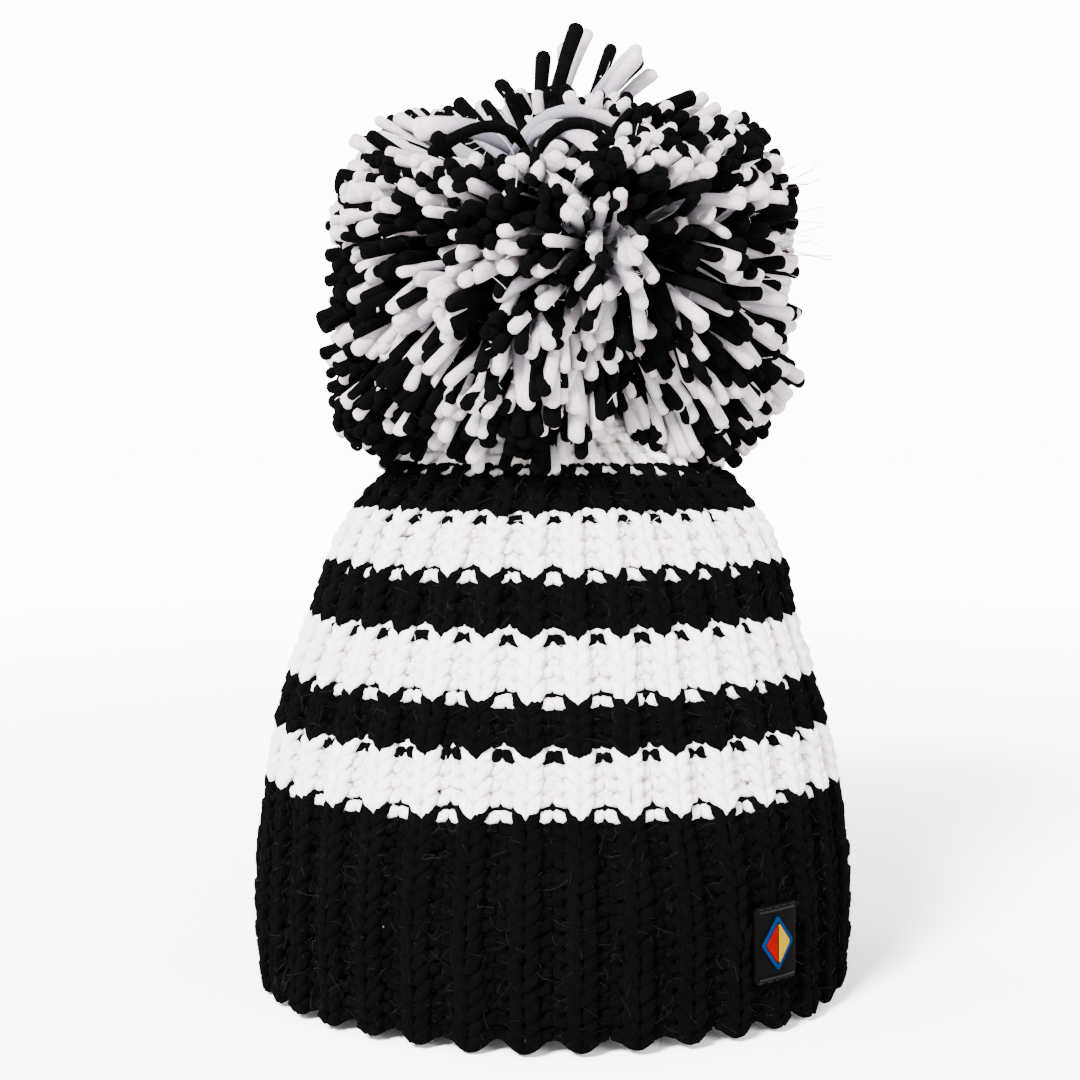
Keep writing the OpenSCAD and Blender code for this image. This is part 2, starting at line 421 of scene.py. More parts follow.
def yarn_material(name, dark, light, tint, sheen, sheen_tint, spec=0.15, depth=None):
    """Soft spun yarn: fine fibres that run along it with a slow twist, and a fuzzy surface."""
    m = Nodes(name)
    uv = m.t.nodes.new("ShaderNodeUVMap")
    uv.uv_map = "yarn"
    sep = m.add("ShaderNodeSeparateXYZ", Vector=uv.outputs["UV"])
    around, along = sep.outputs["X"], sep.outputs["Y"]
    twisted = m.math("ADD", around, m.math("MULTIPLY", along, 0.55))
    turn = m.math("MULTIPLY", twisted, TAU)
    ring = m.add(
        "ShaderNodeCombineXYZ",
        X=m.math("COSINE", turn),
        Y=m.math("SINE", turn),
        Z=m.math("MULTIPLY", along, 0.55),
    ).outputs["Vector"]
    fibre = m.noise(ring, 5.5, 5.0, 0.70)
    fine = m.noise(ring, 15.0, 3.0, 0.65)
    geo = m.t.nodes.new("ShaderNodeTexCoord")
    patch = m.noise(geo.outputs["Object"], 55.0, 2.0, 0.5)
    both = m.math("ADD", m.math("MULTIPLY", fibre, 0.6), m.math("MULTIPLY", fine, 0.4))
    colour = m.ramp(both, [(0.30, dark), (0.62, light)])
    colour = m.mix(m.math("MULTIPLY", m.math("SUBTRACT", patch, 0.35), 0.9), colour, tint)
    if depth:
        # Darker towards the root, where the strands shade each other.
        reach = m.t.nodes.new("ShaderNodeUVMap")
        reach.uv_map = "reach"
        far = m.add("ShaderNodeSeparateXYZ", Vector=reach.outputs["UV"]).outputs["X"]
        shade = m.ramp(far, [(depth[0], (0.85, 0.85, 0.85)), (depth[1], (0.0, 0.0, 0.0))])
        colour = m.mix(shade, colour, ROOT_SHADE)
    m.put(m.bsdf, "Base Color", colour)
    m.put(m.bsdf, "Roughness", YARN_ROUGH)
    m.put(m.bsdf, "Specular IOR Level", spec)
    m.put(m.bsdf, "Sheen Weight", sheen)
    m.put(m.bsdf, "Sheen Roughness", 0.45)
    m.put(m.bsdf, "Sheen Tint", (*sheen_tint, 1))
    b = m.add("ShaderNodeBump", Strength=YARN_BUMP, Distance=0.0006, Height=both)
    m.put(m.bsdf, "Normal", b.outputs["Normal"])
    return m.m


def plain_material(name, colour, rough, spec):
    """Moulded rubber: a fine orange-peel grain, and an uneven gloss painted into the colour as slightly
    lighter and darker patches.
    """
    m = Nodes(name)
    geo = m.t.nodes.new("ShaderNodeTexCoord")
    big = m.noise(geo.outputs["Object"], 140.0, 3.0, 0.6)
    fine = m.noise(geo.outputs["Object"], RUBBER_GRAIN, 2.0, 0.5)
    # Painted sheen: broad lighter and darker patches in the colour stand in for an uneven gloss. The
    # roughness is the same all over.
    darker = tuple(c * (1 - RUBBER_PAINTED_SHEEN) for c in colour)
    lighter = tuple(min(1, c * (1 + RUBBER_PAINTED_SHEEN)) for c in colour)
    m.put(m.bsdf, "Base Color", m.ramp(big, [(0.3, darker), (0.7, lighter)]))
    m.put(m.bsdf, "Roughness", rough)
    m.put(m.bsdf, "Specular IOR Level", spec)
    b = m.add("ShaderNodeBump", Strength=RUBBER_BUMP, Distance=0.0003, Height=fine)
    m.put(m.bsdf, "Normal", b.outputs["Normal"])
    return m.m


yarn_white = yarn_material(
    "yarn_white", (0.21, 0.190, 0.184), (0.56, 0.520, 0.500), (0.40, 0.370, 0.358), 0.08, (1, 1, 1)
)
yarn_black = yarn_material(
    "yarn_black",
    (0.00005, 0.00005, 0.00005),
    (0.0010, 0.0010, 0.0009),
    (0.0003, 0.0003, 0.0003),
    0.002,
    (0.5, 0.5, 0.52),
    spec=0.002,
)


# The pom-pom's white strands get a darker copy of the white yarn in a cool lavender, which is painted shade,
# deeper between the strands than at their ends.
# Painted shade: the same white yarn as the hat, made darker and lavender, with painted shade towards the
# roots.
strand_white_shaded = yarn_material(
    "yarn_white_painted_shade",
    (0.120, 0.099, 0.112),
    (0.330, 0.278, 0.302),
    (0.220, 0.184, 0.204),
    0.06,
    (1, 1, 1),
    depth=(0.66, 1.0),
)


def dress(ob, material, body, slot, nodes=()):
    ob.data.materials.clear()
    ob.data.materials.append(material)
    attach(ob, body)
    if nodes:
        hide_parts(*nodes)
    return ob


# ---------------------------------------------------------------- knitted body

brim = knit_piece("brim_knit", list(range(0, BRIM_ROWS)), per_stitch=11, first=True)
dress(brim, yarn_black, "hat", "yarn_black", ["brim_band_black"])

bands = [
    ("stripe_1_knit", "stripe_1_white", yarn_white, "yarn_white"),
    ("stripe_2_knit", "stripe_2_black", yarn_black, "yarn_black"),
    ("stripe_3_knit", "stripe_3_white", yarn_white, "yarn_white"),
    ("stripe_4_knit", "stripe_4_black", yarn_black, "yarn_black"),
    ("stripe_5_knit", "stripe_5_white", yarn_white, "yarn_white"),
    ("stripe_6_knit", "stripe_6_black", yarn_black, "yarn_black"),
]
for i, (name, node, mat, slot) in enumerate(bands):
    start = BRIM_ROWS + i * STRIPE_ROWS
    ob = knit_piece(name, list(range(start, start + STRIPE_ROWS)), per_stitch=14, sides=8)
    dress(ob, mat, "hat", slot, [node])


def crown_plan(row):
    if row < CROWN_ROW + 3:
        return {}
    return {"rib": False, "wales": 36}


crown = knit_piece("crown_knit", list(range(CROWN_ROW, TOP_ROW)), plan=crown_plan)
dress(crown, yarn_white, "hat", "yarn_white", ["crown_white"])

# ---------------------------------------------------------------- pom-pom

STRAND_R = 2.06
STRAND_LENGTH, LENGTH_SPREAD = 73.0, 2.2
SAMPLES = 11  # points along a strand
CLUMP_LEAN, OWN_LEAN, BOW = 0.33, 0.27, 0.16
DROOP, LOW_DROOP, SIDE_DROOP = 0.50, 0.16, 0.16
PARTING = unit(np.array([-0.21, -0.63, 0.745]))
SHORT_BY, SHORT_AT, SHORT_WIDTH = 27, 0.32, 0.26  # where the crown shows, right of the middle
HANG_BY = 9  # at both sides
OVER_THE_HAT = 2.6


def hat_top(x, y):
    """Height of the hat's outer surface under a point, in mm."""
    v = np.linspace(0, 47, 200)
    w, z = half_w(v), height(v)
    q = np.sqrt(x**2 + (y / 0.76) ** 2)
    order = np.argsort(w)
    return np.interp(q, w[order], z[order], right=-100)


def strand_paths(count, seed):
    r = np.random.default_rng(seed)
    i = np.arange(count) + 0.5
    zc = 1 - 2 * i / count
    az = i * math.pi * (1 + 5**0.5)
    el = np.arcsin(zc) + r.normal(size=count) * 0.02
    # The hat holds up the strands that would point straight down.
    low = math.radians(-24)
    el = np.where(el < low, low + (el - low) * 0.50, el)
    d = np.stack([np.cos(az) * np.cos(el), np.sin(az) * np.cos(el), np.sin(el)], -1)
    d = unit(d + 0.045 * r.normal(size=d.shape))
    cosang = np.clip(d @ PARTING, -1, 1)
    ang = np.degrees(np.arccos(cosang))
    away = unit(d - cosang[:, None] * PARTING)
    # Above and to the left they lie flat; below and to the right they stand up sooner.
    side = smooth_step(0.5 + 0.75 * (away @ unit(np.array([-0.70, 0.0, 0.71]))))
    push = (0.95 + 0.30 * side) * np.exp(-((ang / (28.0 + 7.0 * side)) ** 2))
    field = [waves(seed + 10 + q, 10, 3.0, 8.0) for q in range(3)]
    swirl = np.stack([f(d) for f in field], -1) * CLUMP_LEAN
    calm = (1 - 0.75 * np.exp(-((ang / 46.0) ** 2)) * (0.3 + 0.7 * side))[:, None]
    own = r.normal(size=(count, 3)) * OWN_LEAN * calm
    bow = r.normal(size=(count, 3)) * BOW * calm
    length = STRAND_LENGTH + LENGTH_SPREAD * np.clip(r.normal(size=count), -2, 1.6)
    length = length + 2.5 * waves(seed + 30, 8, 1.5, 3.5)(d)
    # The lower strands are longer, most of all at the front left.
    front_left = smooth_step(0.6 - 1.2 * d[:, 0]) * smooth_step(0.5 - d[:, 1])
    length = length + smooth_step(-zc * 1.6) * (3 + 6 * front_left)
    # At both sides they hang down past the edge of the crown.
    beside = smooth_step(-zc * 1.8) * smooth_step((np.abs(d[:, 0]) - 0.45) / 0.3)
    length = length + HANG_BY * beside
    # To the right of the middle they stop short and leave the crown in sight.
    short = smooth_step(0.15 - zc * 2.2) * np.exp(-(((d[:, 0] - SHORT_AT) / SHORT_WIDTH) ** 2))
    length = length - SHORT_BY * (short * smooth_step(-2 * d[:, 1]))
    s = np.linspace(0, 1, SAMPLES * 4)
    path = np.zeros((count, len(s), 3))
    p = np.zeros((count, 3))
    step = (length / (len(s) - 1))[:, None]
    for k, sk in enumerate(s):
        w = sk**1.25
        down = -DROOP - LOW_DROOP * smooth_step(-1.6 * zc) - SIDE_DROOP * beside
        grav = np.stack([0 * zc, 0 * zc, down], -1)
        t = unit(d + w * (away * push[:, None] + grav + swirl) + sk**2 * own + math.cos(math.pi * sk) * bow)
        path[:, k] = p
        p = p + t * step
    # The top is pressed flat, less so at its sides.
    up = np.maximum(path[..., 2] - 12, 0)
    path[..., 2] -= up * (0.42 - 0.24 * smooth_step((np.abs(path[..., 0]) - 22) / 40))
    keep = np.linspace(0.12, 1, SAMPLES)
    idx = np.round(keep * (len(s) - 1)).astype(int)
    path = path[:, idx] + POM
    top = hat_top(path[..., 0], path[..., 1]) + OVER_THE_HAT
    path[..., 2] = np.maximum(path[..., 2], top)
    return path, d


def strand_piece(name, paths, radius, sides=8, taper=True):
    """Closed tubes with blunt ends; with taper, narrow roots and slightly flared ends."""
    n, m, _ = paths.shape
    tan = np.gradient(paths, axis=1)
    tan = unit(tan)
    ref = np.tile(np.array([0.3, 0.2, 0.93]), (n, 1))
    ref = ref - (ref * tan[:, 0]).sum(-1, keepdims=True) * tan[:, 0]
    ups = [unit(ref)]
    for k in range(1, m):
        u = ups[-1] - (ups[-1] * tan[:, k]).sum(-1, keepdims=True) * tan[:, k]
        ups.append(unit(u))
    up = np.stack(ups, 1)
    bi = np.cross(tan, up)
    s = np.linspace(0, 1, m)
    thick = 0.42 + 0.42 * smooth_step(s / 0.4)
    thick = thick + 0.16 * smooth_step((s - 0.70) / 0.30)
    rad = radius[:, None] * (thick[None, :] if taper else 1 + 0 * thick[None, :])
    # Three more rings round off the blunt end.
    end = paths[:, -1]
    t_end = tan[:, -1]
    dome = [(0.38, 0.93), (0.66, 0.70), (0.80, 0.38)]
    rings_p = np.concatenate([paths] + [(end + t_end * radius[:, None] * a)[:, None] for a, _ in dome], 1)
    rings_r = np.concatenate([rad] + [rad[:, -1:] * b for _, b in dome], 1)
    up = np.concatenate([up] + [up[:, -1:]] * 3, 1)
    bi = np.concatenate([bi] + [bi[:, -1:]] * 3, 1)
    k = m + 3
    ang = np.arange(sides) / sides * TAU
    rr = np.random.default_rng(5)
    oval = 1 + 0.14 * rr.normal(size=(n, 1, 1, 1))
    ring = bi[:, :, None, :] * np.cos(ang)[None, None, :, None] * oval
    ring = ring + up[:, :, None, :] * np.sin(ang)[None, None, :, None] / oval
    v = rings_p[:, :, None, :] + ring * rings_r[:, :, None, None]
    verts = v.reshape(n, k * sides, 3)
    tip = end + t_end * radius[:, None] * 0.85
    root = paths[:, 0] - tan[:, 0] * 0.3
    verts = np.concatenate([verts, root[:, None], tip[:, None]], 1)
    per = k * sides + 2
    jj = np.repeat(np.arange(k - 1), sides)
    qq = np.tile(np.arange(sides), k - 1)
    q2 = (qq + 1) % sides
    quad = np.stack([jj * sides + qq, jj * sides + q2, (jj + 1) * sides + q2, (jj + 1) * sides + qq], -1)
    a = np.arange(sides)
    a2 = (a + 1) % sides
    last = (k - 1) * sides
    tri = np.concatenate([
        np.stack([np.full(sides, k * sides), a2, a], -1),
        np.stack([np.full(sides, k * sides + 1), last + a, last + a2], -1),
    ])
    off = (np.arange(n) * per)[:, None, None]
    quads = (quad[None] + off).reshape(-1, 4)
    tris = (tri[None] + off).reshape(-1, 3)
    along = np.linspace(0, 7, k)
    y0, y1 = along[jj], along[jj + 1]
    w0, w1 = qq / sides, (qq + 1) / sides
    uvq = quad_uvs(w0, w1, y0, y1)
    shift = rr.uniform(0, 40, (n, 1, 1))
    uvq = np.tile(uvq[None], (n, 1, 1, 1))
    uvq[..., 1] += shift
    uvt = np.stack([
        np.stack([np.full(2 * sides, 0.5), np.where(np.arange(2 * sides) < sides, 0.0, 7.0)], -1),
        np.stack([np.tile(a, 2) / sides, np.where(np.arange(2 * sides) < sides, 0.0, 7.0)], -1),
        np.stack([(np.tile(a, 2) + 1) / sides, np.where(np.arange(2 * sides) < sides, 0.0, 7.0)], -1),
    ], 1)
    uvt = np.tile(uvt[None], (n, 1, 1, 1))
    uvt[..., 1] += shift
    yarn = np.concatenate([uvq.reshape(-1, 2), uvt.reshape(-1, 2)])
    # How far along its strand each point is.
    far = np.minimum(np.arange(k) / (m - 1), 1.0)
    rq = np.stack([far[jj], far[jj], far[jj + 1], far[jj + 1]], -1)
    rt = np.repeat(np.where(np.arange(2 * sides) < sides, 0.0, 1.0)[:, None], 3, 1)
    reach = np.concatenate([np.tile(rq.ravel(), n), np.tile(rt.ravel(), n)])
    reach = np.stack([reach, 0 * reach], -1)
    # A grid of small strips, one a strand, for a clean bake.
    cols = int(math.ceil(math.sqrt(n / 3.0)))
    rows = int(math.ceil(n / cols))
    cx = (np.arange(n) % cols)[:, None, None]
    cy = (np.arange(n) // cols)[:, None, None]
    f0, f1 = jj / (k + 1) + 0.04, (jj + 1) / (k + 1) + 0.04
    g0, g1 = 0.06 + 0.86 * w0, 0.06 + 0.86 * w1
    bq = quad_uvs(g0, g1, f0, f1)[..., ::-1]
    bt_y = 0.06 + 0.86 * np.tile(a, 2) / sides
    bt_x = np.where(np.arange(2 * sides) < sides, 0.04, (k - 1) / (k + 1) + 0.04)
    tip_x = np.where(np.arange(2 * sides) < sides, 0.005, (k - 1) / (k + 1) + 0.10)
    bt = np.stack([
        np.stack([tip_x, bt_y + 0.43 / sides], -1),
        np.stack([bt_x, bt_y], -1),
        np.stack([bt_x, bt_y + 0.86 / sides], -1),
    ], 1)
    bq = np.tile(bq[None], (n, 1, 1, 1))
    bt = np.tile(bt[None], (n, 1, 1, 1))
    for b in (bq, bt):
        b[..., 0] = (b[..., 0] + cx) / cols
        b[..., 1] = (b[..., 1] + cy) / rows
    bake = np.concatenate([bq.reshape(-1, 2), bt.reshape(-1, 2)])
    return new_mesh(name, verts.reshape(-1, 3), quads, tris, {"yarn": yarn, "reach": reach, "OFBake": bake})


def arc_paths(root, middle, tip, samples=SAMPLES):
    """Smooth arcs from root to tip that pull towards the middle points."""
    t = np.linspace(0, 1, samples)[None, :, None]
    return root[:, None] * (1 - t) ** 2 + 2 * middle[:, None] * t * (1 - t) + tip[:, None] * t**2


def tall_strands(count, seed):
    """The long strands that stand up from the parting."""
    r = np.random.default_rng(seed)
    u = np.linspace(-1, 1, count) + 0.10 * r.normal(size=count)
    root = POM + np.stack([-6 + 6 * u, -27 + 6 * r.normal(size=count), 12 + 3 * r.normal(size=count)], -1)
    top = 66 - 15 * np.abs(u) ** 1.5 + 2.5 * r.normal(size=count)
    tip = POM + np.stack([7 + 27 * u, -12 + 17 * r.normal(size=count), np.minimum(top, 67)], -1)
    pull = np.stack([-7 * u + 4 * r.normal(size=count), 4 * r.normal(size=count), 4 + 0 * u], -1)
    mid = (root + tip) / 2 + pull
    return arc_paths(root, mid, tip)


def arching_strands(count, seed):
    """Strands that arch out of the parting and fall over to the sides."""
    r = np.random.default_rng(seed)
    side = np.where(r.random(count) < 0.68, 1.0, -1.0)
    reach = r.uniform(24, 40, count)
    x = -12 + 4 * r.normal(size=count)
    y = -36 + 5 * r.normal(size=count)
    root = POM + np.stack([x, y, 20 + 2 * r.normal(size=count)], -1)
    tip = root + np.stack([side * reach, -9 + 9 * r.normal(size=count), 6 + 5 * r.normal(size=count)], -1)
    forward = -10 + 5 * r.normal(size=count)
    lift = 20 + 7 * side + 4 * r.normal(size=count)
    mid = root + np.stack([side * reach * 0.25, forward, lift], -1)
    return arc_paths(root, mid, tip)


STRANDS = 3450
paths, dirs = strand_paths(STRANDS, 21)
r = np.random.default_rng(77)
patchy = waves(55, 16, 19.0, 32.0)(dirs) + 0.66 * r.normal(size=len(dirs))
# The left has a little less white.
patchy = patchy - 0.30 * smooth_step(-1.6 * dirs[:, 0])
is_white = patchy > np.quantile(patchy, 0.57)
TALL, ARCHES = 14, 8
extra = np.concatenate([tall_strands(TALL, 5), arching_strands(ARCHES, 8)])
paths = np.concatenate([paths, extra])
extra_white = [i % 5 % 2 == 0 for i in range(TALL)] + [i % 3 != 1 for i in range(ARCHES)]
is_white = np.concatenate([is_white, extra_white])
height_at = np.concatenate([dirs[:, 2], np.ones(len(extra))])
radius = STRAND_R * (1 + 0.09 * r.normal(size=len(paths)))
radius[-len(extra):] *= 1.18
UPPER_FROM, LOWER_TO = 0.36, -0.30
layers = {
    "upper": height_at > UPPER_FROM,
    "middle": (height_at <= UPPER_FROM) & (height_at > LOWER_TO),
    "lower": height_at <= LOWER_TO,
}
for layer, inside in layers.items():
    ob = strand_piece("pompom_black_" + layer, paths[inside & ~is_white], radius[inside & ~is_white])
    dress(ob, yarn_black, "pompom", "yarn_black", ["pompom_black_strands"])
    ob = strand_piece("pompom_white_" + layer, paths[inside & is_white], radius[inside & is_white])
    dress(ob, strand_white_shaded, "pompom", "yarn_white", ["pompom_white_strands"])

# ---------------------------------------------------------------- loose fibres


def fibre_material(name, dark, light):
    m = Nodes(name)
    geo = m.t.nodes.new("ShaderNodeTexCoord")
    patch = m.noise(geo.outputs["Object"], 90.0, 2.0)
    m.put(m.bsdf, "Base Color", m.ramp(patch, [(0.35, dark), (0.65, light)]))
    m.put(m.bsdf, "Roughness", 0.8)
    m.put(m.bsdf, "Specular IOR Level", 0.1)
    return m.m


FIBRES = 3700  # in each of the four pieces
FIBRE_R = 0.045
fibre_grey = fibre_material("fibre_grey", (0.0004, 0.0004, 0.0004), (0.0050, 0.0049, 0.0044))
fibre_white = fibre_material("fibre_white", (0.60, 0.58, 0.60), (0.80, 0.79, 0.80))


def fibres(roots, normals, seed, shortest, longest, out=0.5):
    """Curled fibres that start on a surface and wander close to it."""
    r = np.random.default_rng(seed)
    n = len(roots)
    a = unit(r.normal(size=(n, 3)))
    a = unit(a - (a * normals).sum(-1, keepdims=True) * normals)
    b = unit(a + 0.9 * r.normal(size=(n, 3)))
    length = shortest + (longest - shortest) * r.random(n) ** 2.2
    rise = (out * r.random(n))[:, None]
    d0 = unit(a + normals * rise)
    mid = roots + d0 * (length * 0.5)[:, None]
    tip = mid + unit(b + normals * (rise - 0.35)) * (length * 0.55)[:, None]
    tip = tip + normals * np.maximum(0.5 - ((tip - roots) * normals).sum(-1), 0)[:, None]
    path = arc_paths(roots, mid, tip, 5)
    path[..., 2] = np.maximum(path[..., 2], 0.4)
    return path


def knit_fibres(name, bands_of_rows, count, seed, mat, slot, longest):
    r = np.random.default_rng(seed)
    lo = np.array([b[0] for b in bands_of_rows], float)
    hi = np.array([b[1] for b in bands_of_rows], float)
    which = r.choice(len(lo), size=count, p=(hi - lo) / (hi - lo).sum())
    v = lo[which] + (hi - lo)[which] * r.random(count)
    phi = r.uniform(0, TAU, count)
    p, nrm = surface_frame(phi, v)
    roots = p + nrm * r.uniform(1.6, 3.6, count)[:, None]
    ob = strand_piece(name, fibres(roots, nrm, seed + 1, 1.5, longest), np.full(count, FIBRE_R), sides=3)
    return dress(ob, mat, "hat", slot)


# Each pair of numbers is a band of rows.
black_rows = [(0.3, BRIM_ROWS)] + [(BRIM_ROWS + 4 * i, BRIM_ROWS + 4 * i + 4) for i in (1, 3, 5)]
white_rows = [(BRIM_ROWS + 4 * i + 0.6, BRIM_ROWS + 4 * i + 3.4) for i in (0, 2, 4)]
white_rows.append((CROWN_ROW + 0.6, CROWN_ROW + 5))
knit_fibres("fibres_on_black_knit", black_rows, FIBRES, 61, fibre_grey, "yarn_black", 8.0)
knit_fibres("fibres_on_white_knit", white_rows, FIBRES, 62, fibre_white, "yarn_white", 3.5)


def strand_fibres(name, pick, count, seed, mat, slot):
    r = np.random.default_rng(seed)
    i = r.choice(np.flatnonzero(pick), size=count)
    k = r.integers(6, paths.shape[1] - 1, count)
    mixf = r.random(count)[:, None]
    p = paths[i, k] * (1 - mixf) + paths[i, k + 1] * mixf
    t = unit(paths[i, k + 1] - paths[i, k])
    away = unit(p - POM)
    nrm = unit(away + 0.8 * r.normal(size=(count, 3)))
    nrm = unit(nrm - (nrm * t).sum(-1, keepdims=True) * t)
    roots = p + nrm * radius[i][:, None] * 0.9
    ob = strand_piece(name, fibres(roots, nrm, seed + 1, 1.5, 8.0, 1.0), np.full(count, FIBRE_R), sides=3)
    return dress(ob, mat, "pompom", slot)


strand_fibres("fibres_on_black_strands", ~is_white, FIBRES, 71, fibre_grey, "yarn_black")
strand_fibres("fibres_on_white_strands", is_white, FIBRES, 72, fibre_white, "yarn_white")

# ---------------------------------------------------------------- cords inside


def plied(path, radius, plies, pitch):
    """The paths of plies twisted together along one path, at the given distance from it."""
    tan = unit(np.gradient(path, axis=0))
    side = np.cross(tan[0], [0.31, 0.52, 0.79])
    sides = []
    for t in tan:
        side = unit(side - (side @ t) * t)
        sides.append(side)
    a = np.array(sides)
    b = np.cross(tan, a)
    turn = TAU * length_along(path) / pitch
    turns = [turn + TAU * q / plies for q in range(plies)]
    return np.stack([path + radius * (a * np.cos(w)[:, None] + b * np.sin(w)[:, None]) for w in turns])


def cord_piece(name, path, thick, body, nodes, material, plies=3, slot="yarn_black"):
    """A cord of the given outer radius, laid from a few plies."""
    ply_r = thick / (1 + 1 / math.sin(math.pi / plies)) * 1.08
    paths = plied(path, thick - ply_r, plies, 5.5 * thick)
    ob = strand_piece(name, paths, np.full(plies, ply_r), taper=False)
    return dress(ob, material, body, slot, nodes)


def upright(low, high, bend, seed, samples):
    """A nearly straight upright path at the middle of the hat."""
    z = np.linspace(low, high, samples)
    t = (z - low) / (high - low)
    wander = waves(seed, 4, 3.0, 8.0, 1)
    ends = np.sin(math.pi * t)
    return np.stack([bend * ends * wander(t[:, None]), bend * ends * wander(t[:, None] + 3), z], -1)


TIE_R = 1.5
KNOT = np.array([0, 0, 160.6])
anchor = upright(165.0, 180.6, 0.25, 81, 40)
tail = upright(182.0, 219.0, 0.35, 82, 70)
cord_piece("anchor_twine", anchor, TIE_R, "hat", ["anchor_cord"], yarn_black, slot="tie_cord")
cord_piece("tie_tail_twine", tail, TIE_R, "pompom", ["tie_tails"], yarn_black, slot="tie_cord")
t = np.linspace(0, TAU, 150)
x = 1.16 * (np.sin(t) + 2 * np.sin(2 * t))
y = 0.92 * (np.cos(t) - 2 * np.cos(2 * t))
trefoil = np.stack([x, y, -2.35 * np.sin(3 * t)], -1)
cord_piece("anchor_knot_twine", KNOT + trefoil, 1.42, "hat", ["anchor_knot"], yarn_black, slot="tie_cord")
t = np.linspace(0, TAU, 150)
TIE_RING, CORE_R = 13.9, 10.9
ring = POM * [0, 1, 1] + TIE_RING * np.stack([np.cos(t), np.sin(t), 0 * t], -1)
cord_piece("pompom_tie_twine", ring, TIE_R, "pompom", ["pompom_tie"], yarn_black, slot="tie_cord")

# The core is a ball of yarn wound round and round at slowly turning angles.
t = np.linspace(0, 44 * TAU, 44 * 22)
turn, tilt = 0.137 * t / TAU * 17, 1.25 + 0.28 * np.sin(t / 9.0)
x, y, z = np.cos(t), np.sin(t) * np.cos(tilt), np.sin(t) * np.sin(tilt)
wound = np.stack([x * np.cos(turn) - y * np.sin(turn), x * np.sin(turn) + y * np.cos(turn), z], -1)
wound = CORE_R * wound
core = strand_piece("pompom_core_windings", (POM * [0, 1, 1] + wound)[None], np.array([1.0]), taper=False)
dress(core, yarn_black, "pompom", "core_yarn", ["pompom_core"])

# The gathering yarn lies just below the last round; the seam yarn zigzags up the back, inside.
t = np.linspace(0, TAU, 150)
ring = np.stack([8.6 * np.sin(t), -6.6 * np.cos(t), 177.6 + 0.9 * np.sin(6 * t)], -1)
cord_piece("gather_twine", ring, 1.4, "hat", ["gather_yarn"], yarn_white, plies=2, slot="yarn_white")
v = np.linspace(1.6, 34.5, 420)
phi = math.pi + 0.016 * np.sin(TAU * v / 2)
p, nrm = surface_frame(phi, v)
seam = p - nrm * (5.4 + 0.5 * np.cos(TAU * v))[:, None]
cord_piece("back_seam_twine", seam, 1.2, "hat", ["back_seam_yarn"], yarn_black, plies=2)

# ---------------------------------------------------------------- stray hairs


def stray_hairs(count, seed):
    """A few long hairs that stand out from the right of the pom-pom."""
    r = np.random.default_rng(seed)
    up = r.uniform(-0.10, 0.34, count)
    d = unit(np.stack([np.ones(count), -0.25 + 0.2 * r.normal(size=count), up], -1))
    root = POM + d * 62
    tip = POM + unit(d + 0.05 * r.normal(size=(count, 3))) * r.uniform(76, 87, count)[:, None]
    mid = (root + tip) / 2 + 1.6 * r.normal(size=(count, 3))
    return arc_paths(root, mid, tip, 9)


HAIRS, HAIR_R = 16, 0.11
hair_brown = fibre_material("hair_brown", (0.020, 0.010, 0.007), (0.060, 0.030, 0.022))
hairs = strand_piece("pompom_stray_hairs", stray_hairs(HAIRS, 91), np.full(HAIRS, HAIR_R), sides=4)
dress(hairs, hair_brown, "pompom", "yarn_black")

# ---------------------------------------------------------------- label

LABEL_W, LABEL_H, LABEL_T = 16.0, 22.5, 1.4
LABEL_FACING, LABEL_LEAN = math.radians(36.5), math.radians(1.0)
LABEL_BEND = 75.0  # it follows the brim's curve, mm
low_corner, high_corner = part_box("label_patch")
label_out = np.array([math.sin(LABEL_FACING), -math.cos(LABEL_FACING), 0])
label_right = np.array([math.cos(LABEL_FACING), math.sin(LABEL_FACING), 0])
label_centre = (np.array(low_corner) + np.array(high_corner)) / 2 / MM - label_out * LABEL_T / 2


def on_label(u, w, h):
    """Label coordinates (right, up, outwards) to mm in the hat's frame."""
    c, s = math.cos(LABEL_LEAN), math.sin(LABEL_LEAN)
    across, up = u * c - w * s, u * s + w * c
    out = h - across**2 / (2 * LABEL_BEND)
    p = across[..., None] * label_right + out[..., None] * label_out + label_centre
    p[..., 2] += up
    return p


OUTLINE_STEP = 0.8


def rounded(corners, r):
    """A polygon's outline with rounded corners and evenly divided sides."""
    corners = np.asarray(corners, float)
    pts = []
    for i, c in enumerate(corners):
        before, after = corners[i - 1], corners[(i + 1) % len(corners)]
        a, b = c + unit(before - c) * r, c + unit(after - c) * r
        for t in np.linspace(0, 1, 6):
            pts.append(a * (1 - t) ** 2 + 2 * c * t * (1 - t) + b * t**2)
        end = after + unit(c - after) * r
        n = max(int(np.linalg.norm(end - b) / OUTLINE_STEP), 1)
        pts += [b + (end - b) * k / n for k in range(1, n)]
    return np.array(pts)


